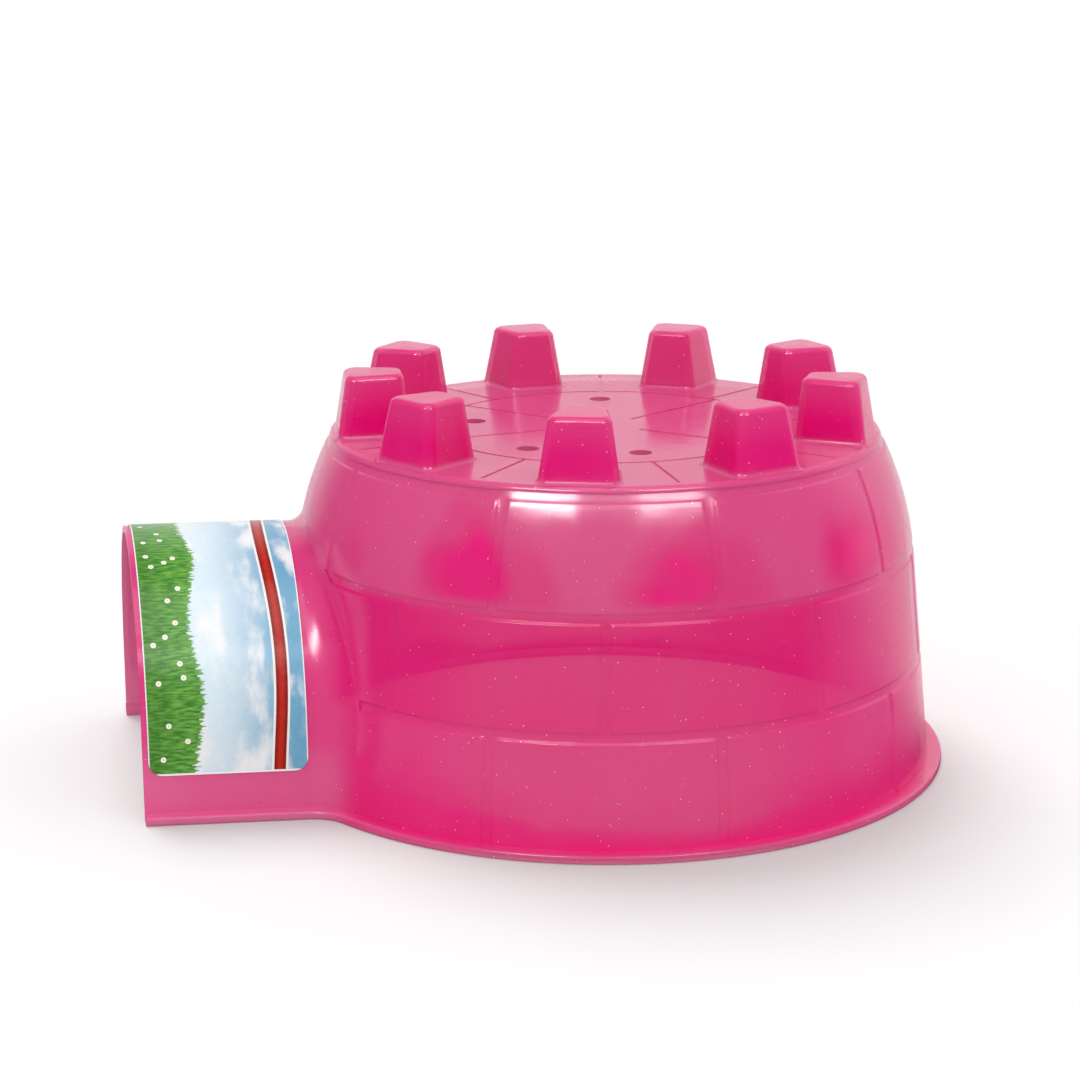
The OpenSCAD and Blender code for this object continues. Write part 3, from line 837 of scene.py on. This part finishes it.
def moulded_plastic():
    """See-through pink plastic with fine glitter, deep on the blocks and round the tunnel's corner,
    with painted light and painted shade in its colour.
    """
    r = Recipe("pink_plastic")
    x, y, z = r.axes()
    across = r.math("SUBTRACT", x, CENTRE_X * MM)
    turn = r.math("ARCTAN2", y, across)
    girth = tunnel_girth(r, y, z)
    out_of_dome = r.step(across, -0.112, -0.098, 1.0, 0.0)
    bore = r.step(girth, *metres(CROWN_R - 1.9, CROWN_R - 1.0), 1.0, 0.0)
    bore = r.product(bore, r.step(across, -0.110, -0.100, 1.0, 0.0))

    # Painted shade: deep patches beside the top course's upright joints
    joint_shade = painted_joint_shade(r, turn, z)
    # Painted shade: a deep band along the wall's foot
    foot = painted_foot_shade(r, across, y, z, girth)
    corner = deep_corner(r, across, z, girth)
    block = r.step(z, *metres(DECK_H + 0.3, DECK_H + 2.5))
    deep = r.largest(joint_shade, foot, corner, block)
    # Painted light: a paler pink over most of the walls
    light_veil = painted_light_veil(r, across, y, z, out_of_dome, deep, block)

    # Painted light: the pinks brighten towards the ground, as if lit from below
    glow = r.step(z, 0.0, GROUND_LIT_TOP_H, 1.0, 0.0)
    deep_pink = r.mix(glow, DEEP_PINK, GROUND_LIT_DEEP_PINK)
    pale_pink = r.mix(glow, PALE_PINK, GROUND_LIT_PALE_PINK)
    # Painted light: the tunnel's foot paler as if it reflects the ground, and its inside paler as if
    # lit through its walls
    ground_reflection_foot = r.product(out_of_dome, r.step(z, 0.012, 0.032, 0.5, 0.0))
    painted_light_share = r.largest(ground_reflection_foot, r.product(bore, 0.9))
    body = r.mix(painted_light_share, r.mix(light_veil, deep_pink, pale_pink), LIGHT_PAINTED_PINK)
    grain, grain_colour = glitter(r)

    # The front is clearer in the middle, so the far wall and the ground show through
    centre = r.window(across, -0.068, 0.052, 0.030)
    cover = r.largest(
        r.step(centre, 0.0, 1.0, WALL_COVER, FRONT_COVER),
        r.step(z, *metres(DECK_H - 4, DECK_H - 1), 0.0, DECK_COVER),
        r.product(deep, DEEP_COVER),
        r.product(joint_shade, JOINT_SHADE_COVER),
        r.product(bore, BORE_COVER),
        grain,
    )
    rough = r.step(r.noise(45), 0.3, 0.7, 0.12, 0.19)
    rough = r.math("ADD", rough, r.product(out_of_dome, 0.07))
    r.set(Base_Color=r.mix(grain, body, grain_colour), Alpha=cover, IOR=1.5, Roughness=rough)
    r.shader.inputs["Specular IOR Level"].default_value = 0.75
    r.bump(r.noise(110, 1.0), 0.12, 0.0006)
    return r.material


# Colours of the print
PALE_SKY = (0.70, 0.83, 0.90, 1)
DEEP_SKY = (0.16, 0.41, 0.61, 1)
CLOUD_WHITE = (0.86, 0.89, 0.90, 1)
DARK_GRASS = (0.045, 0.22, 0.022, 1)
LIGHT_GRASS = (0.18, 0.46, 0.070, 1)
SHADED_GRASS = (0.035, 0.15, 0.01, 1)
PETAL_WHITE = (0.95, 0.95, 0.92, 1)
FLOWER_YELLOW = (0.90, 0.62, 0.06, 1)
BAND_CREAM = (0.93, 0.90, 0.84, 1)
BAND_RED = (0.55, 0.014, 0.004, 1)
BAND_DARK_RED = (0.22, 0.004, 0.003, 1)
PAPER_WHITE = (0.90, 0.92, 0.92, 1)

# Places of the print along the tunnel, from the label's front edge
MEADOW_W = 18.8
SKY_SHADES = (22.0, 54.0)
BAND_AT = 47.5
BORDER_W = 0.4
FLOWER_PITCH = 9.0


def flat_place(r, along, round_way):
    """Two coordinates on the flat sheet as one vector."""
    flat = r.node("ShaderNodeCombineXYZ")
    r.feed(flat.inputs[0], along)
    r.feed(flat.inputs[1], round_way)
    return flat.outputs[0]


def sky_print(r, along, round_way):
    """A sky that deepens towards the dome, with soft clouds."""
    sky = r.mix(r.step(along, *SKY_SHADES), PALE_SKY, DEEP_SKY)
    stretched = flat_place(r, along, r.math("MULTIPLY", round_way, 0.45))
    return r.mix(r.step(r.noise(0.085, 5.0, stretched), 0.46, 0.66), sky, CLOUD_WHITE)


def meadow_print(r, along, round_way, colour):
    """A meadow with blades, a wavy edge and small white flowers, laid over a colour."""
    blades = flat_place(r, r.math("MULTIPLY", along, 0.22), r.math("MULTIPLY", round_way, 1.1))
    streak = r.noise(1.0, 4.0, blades)
    green = r.mix(r.step(streak, 0.35, 0.68), DARK_GRASS, LIGHT_GRASS)
    green = r.mix(r.step(along, 2.0, 14.0, 0.35, 0.0), green, SHADED_GRASS)
    wave = r.math("SINE", r.math("MULTIPLY", round_way, 0.11))
    edge = r.math("ADD", r.math("MULTIPLY", wave, 1.8), MEADOW_W)
    edge = r.math("ADD", edge, r.math("MULTIPLY", r.math("SUBTRACT", streak, 0.5), 9.0))
    meadow = r.step(r.math("SUBTRACT", along, edge), -0.5, 0.5, 1.0, 0.0)
    colour = r.mix(meadow, colour, green)
    distance, _, root = r.cells(FLOWER_PITCH, flat_place(r, along, round_way), "2D")
    flower = r.step(distance, 0.10, 0.12, 1.0, 0.0)
    heart = r.step(distance, 0.035, 0.05, 1.0, 0.0)
    rooted = r.node("ShaderNodeSeparateXYZ")
    r.feed(rooted.inputs[0], root)
    in_meadow = r.window(rooted.outputs[0], 2.0, 14.5, 0.01)
    return r.mix(r.product(flower, in_meadow), colour, r.mix(heart, PETAL_WHITE, FLOWER_YELLOW))


def band_print(r, along, round_way, colour, half_w=2.1, edged_half_w=2.9):
    """A red band with pale edges, gently waved, laid over a colour."""
    sway = r.math("MULTIPLY", r.math("SINE", r.math("MULTIPLY", round_way, 0.055)), 1.3)
    band = r.math("SUBTRACT", along, r.math("ADD", sway, BAND_AT))
    colour = r.mix(r.window(band, -edged_half_w, edged_half_w, 0.12), colour, BAND_CREAM)
    red = r.mix(r.step(r.math("ABSOLUTE", band), 0.0, 2.2), BAND_RED, BAND_DARK_RED)
    return r.mix(r.window(band, -half_w, half_w, 0.12), colour, red)


def printed_paper():
    """The label's own print: a green meadow, a pale sky with clouds and a red band."""
    r = Recipe("printed_paper")
    x, y, z = r.axes()
    slant = r.math("MULTIPLY", y, math.sin(MOUTH_SKEW))
    along = r.math("MULTIPLY", r.math("ADD", x, (MOUTH_REACH - CENTRE_X) * MM), math.cos(MOUTH_SKEW))
    along = r.math("SUBTRACT", r.math("ADD", along, slant), LABEL_INSET * MM)
    along = r.math("MULTIPLY", along, 1000.0)
    round_turn = r.math("ARCTAN2", y, r.math("SUBTRACT", z, CROWN_Z * MM))
    round_way = r.math("MULTIPLY", r.math("ADD", round_turn, math.pi / 2), CROWN_R)

    colour = sky_print(r, along, round_way)
    colour = meadow_print(r, along, round_way, colour)
    colour = band_print(r, along, round_way, colour)

    # Thin unprinted border at the ends and a faint paper grain
    ends = r.math("SUBTRACT", 1.0, r.window(along, BORDER_W, LABEL_LEN - BORDER_W, 0.1))
    foot = r.step(z, *metres(LABEL_FOOT_H + 0.6, LABEL_FOOT_H + 0.8), 1.0, 0.0)
    border = r.largest(ends, foot)
    rough = r.step(r.noise(400), 0.3, 0.7, 0.22, 0.30)
    r.set(Base_Color=r.mix(border, colour, PAPER_WHITE), IOR=1.45, Roughness=rough)
    return r.material


moulding.data.materials.clear()
moulding.data.materials.append(moulded_plastic())
label.data.materials.clear()
label.data.materials.append(printed_paper())


# Floor, light and camera

# The white backdrop stands behind the object and a little to its right
BACKDROP_TURN = math.radians(25)
BACKDROP_SIDE = (math.sin(BACKDROP_TURN), math.cos(BACKDROP_TURN), 0)

FLOOR_R = 14000
FLOOR_WHITE = (0.60, 0.60, 0.60, 1)
FLOOR_GLOW = (0.13, 0.13, 0.13, 1)
FLOOR_DARK = (0.03, 0.03, 0.03, 1)
EVEN_LIGHT = 0.95
ROOM_LIGHT = 0.06
BACKDROP_LIGHT = 0.88
SOFTBOX_REACH = 1.5
AIM = Vector((CENTRE_X * MM, 0, 0.11))


def make_floor():
    """A wide white floor that keeps the object's shadow."""
    bm = bmesh.new()
    bmesh.ops.create_circle(bm, cap_ends=True, segments=96, radius=FLOOR_R)
    floor = finished("floor", bm)
    r = Recipe("white_floor")
    r.set(Base_Color=FLOOR_WHITE, Roughness=0.9)
    r.shader.inputs["Specular IOR Level"].default_value = 0.1
    # A little light of its own for the camera keeps the open floor white, with its shadows;
    # reflections see it white only behind the object, like the backdrop
    path = r.node("ShaderNodeLightPath")
    glow = r.node("ShaderNodeEmission")
    r.feed(glow.inputs["Color"], FLOOR_GLOW)
    r.feed(glow.inputs["Strength"], path.outputs["Is Camera Ray"])
    white = r.node("ShaderNodeAddShader")
    r.feed(white.inputs[0], r.shader.outputs[0])
    r.feed(white.inputs[1], glow.outputs[0])
    away = r.node("ShaderNodeVectorMath", operation="NORMALIZE")
    r.feed(away.inputs[0], r.place)
    behind = r.node("ShaderNodeVectorMath", operation="DOT_PRODUCT")
    r.feed(behind.inputs[0], away.outputs[0])
    r.feed(behind.inputs[1], BACKDROP_SIDE)
    in_front = r.step(behind.outputs["Value"], 0.20, 0.68, 0.93, 0.0)
    dark = r.node("ShaderNodeBsdfDiffuse")
    r.feed(dark.inputs["Color"], FLOOR_DARK)
    seen = r.node("ShaderNodeMixShader")
    r.feed(seen.inputs[0], r.product(in_front, path.outputs["Is Glossy Ray"]))
    r.feed(seen.inputs[1], white.outputs[0])
    r.feed(seen.inputs[2], dark.outputs[0])
    r.feed(r.tree.nodes["Material Output"].inputs["Surface"], seen.outputs[0])
    floor.data.materials.append(r.material)
    return floor


def make_world():
    """Even white light; reflections see a white backdrop and a dim room round the camera."""
    world = bpy.data.worlds.new("studio")
    bpy.context.scene.world = world
    world.use_nodes = True
    nodes, links = world.node_tree.nodes, world.node_tree.links
    even = nodes["Background"]
    even.inputs["Color"].default_value = (1, 1, 1, 1)
    even.inputs["Strength"].default_value = EVEN_LIGHT
    room = nodes.new("ShaderNodeBackground")
    place = nodes.new("ShaderNodeTexCoord")
    behind = nodes.new("ShaderNodeVectorMath")
    behind.operation = "DOT_PRODUCT"
    behind.inputs[1].default_value = BACKDROP_SIDE
    links.new(place.outputs["Generated"], behind.inputs[0])
    back = nodes.new("ShaderNodeMapRange")
    back.interpolation_type = "SMOOTHSTEP"
    back.inputs["From Min"].default_value = 0.28
    back.inputs["From Max"].default_value = 0.72
    back.inputs["To Min"].default_value = ROOM_LIGHT
    back.inputs["To Max"].default_value = BACKDROP_LIGHT
    links.new(behind.outputs["Value"], back.inputs["Value"])
    path = nodes.new("ShaderNodeLightPath")
    seen = nodes.new("ShaderNodeMix")
    links.new(path.outputs["Is Glossy Ray"], seen.inputs[0])
    seen.inputs[2].default_value = 1.0
    links.new(back.outputs[0], seen.inputs[3])
    links.new(seen.outputs[0], room.inputs["Strength"])
    room.inputs["Color"].default_value = (1, 1, 1, 1)
    either = nodes.new("ShaderNodeMath")
    either.operation = "MAXIMUM"
    links.new(path.outputs["Is Camera Ray"], either.inputs[0])
    links.new(path.outputs["Is Glossy Ray"], either.inputs[1])
    mix = nodes.new("ShaderNodeMixShader")
    links.new(either.outputs[0], mix.inputs[0])
    links.new(even.outputs[0], mix.inputs[1])
    links.new(room.outputs[0], mix.inputs[2])
    links.new(mix.outputs[0], nodes["World Output"].inputs["Surface"])


def lit_alone(light, *objects):
    """Keeps a light to the objects given."""
    lit = bpy.data.collections.new("lit_by_" + light.name)
    for obj in objects:
        lit.objects.link(obj)
    light.light_linking.receiver_collection = lit


def direction(azimuth, elevation):
    """A unit vector; azimuth 0 is the front, and it grows to the right."""
    a, e = math.radians(azimuth), math.radians(elevation)
    return Vector((math.sin(a) * math.cos(e), -math.cos(a) * math.cos(e), math.sin(e)))


def softbox(name, azimuth, elevation, size, radiance, lights_surfaces):
    """A rectangular light aimed at the dome's shoulder; some are for its gloss alone."""
    data = bpy.data.lights.new(name, "AREA")
    data.shape = "RECTANGLE"
    data.size, data.size_y = size
    data.energy = radiance * math.pi * size[0] * size[1]
    away = direction(azimuth, elevation)
    light = bpy.data.objects.new(name, data)
    light.location = AIM + away * SOFTBOX_REACH
    light.rotation_euler = away.to_track_quat("Z", "Y").to_euler()
    light.visible_diffuse = lights_surfaces
    bpy.context.scene.collection.objects.link(light)
    lit_alone(light, moulding, label)


def shadow_light(floor, azimuth, elevation, strength):
    """A broad distant light on the floor alone, which lays the soft shadow."""
    data = bpy.data.lights.new("shadow_light", "SUN")
    data.energy = strength
    data.angle = math.radians(34)
    away = direction(azimuth, elevation)
    light = bpy.data.objects.new("shadow_light", data)
    light.rotation_euler = away.to_track_quat("Z", "Y").to_euler()
    bpy.context.scene.collection.objects.link(light)
    lit_alone(light, floor)


def make_camera():
    """The photo's own point of view."""
    data = bpy.data.cameras.new("camera")
    data.sensor_width = 36.0
    data.lens = 91.7
    data.clip_start = 0.05
    data.clip_end = 50.0
    camera = bpy.data.objects.new("camera", data)
    camera.location = (-0.11517, -1.00988, 0.34228)
    camera.rotation_euler = [math.radians(a) for a in (75.7162, 0.2443, -6.7604)]
    bpy.context.scene.collection.objects.link(camera)
    bpy.context.scene.camera = camera


floor = make_floor()
make_world()
softbox("top_softbox", 0, 70, (1.4, 1.0), 1.5, True)
softbox("left_sheen", -34, 36, (0.60, 0.20), 31.0, False)
softbox("right_sheen", 20, 36, (0.60, 0.20), 19.0, False)
softbox("middle_sheen", -7, 37, (0.52, 0.14), 4.0, False)
shadow_light(floor, -162, 58, 2.1)
make_camera()
bpy.context.scene.view_settings.view_transform = "Standard"
